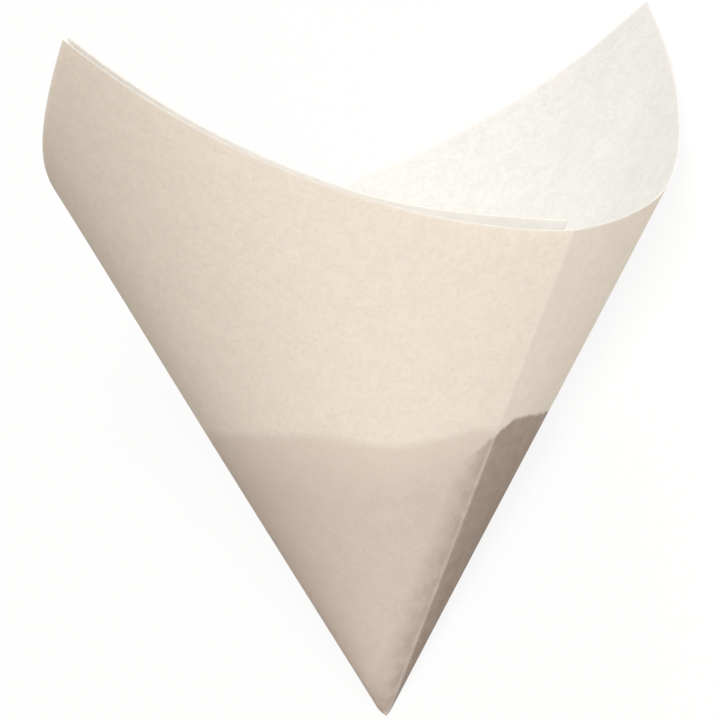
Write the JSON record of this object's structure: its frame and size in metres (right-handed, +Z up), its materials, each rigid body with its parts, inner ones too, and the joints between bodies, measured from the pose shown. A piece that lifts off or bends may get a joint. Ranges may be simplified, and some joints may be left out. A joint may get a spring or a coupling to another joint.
{
  "type": "paper coffee filter",
  "caption": "Square sheet of filter paper folded in half twice and opened to a cone with two pointed ears, one layer on one side and three on the other.",
  "frame": {"origin": "the sharp point that the outer faces of the cone run to, which is the centre of the sheet, on the surface that the filter lies on", "axes": "+X along the surface, under the middle of the single layer, to the tip of its ear; +Z up; -Y towards crease A, inside which the folded edge of the inner pair of layers lies. The cone's axis rises 30 degrees from +X towards +Z"},
  "size_m": [0.2151, 0.1568, 0.1865],
  "materials": {
    "filter_paper": "matt bonded filter paper, warm white, faint cloudy fibre pattern, lets some light through"
  },
  "bodies": {
    "root": {"filter_sheet": "filter_paper"}
  },
  "joints": []
}
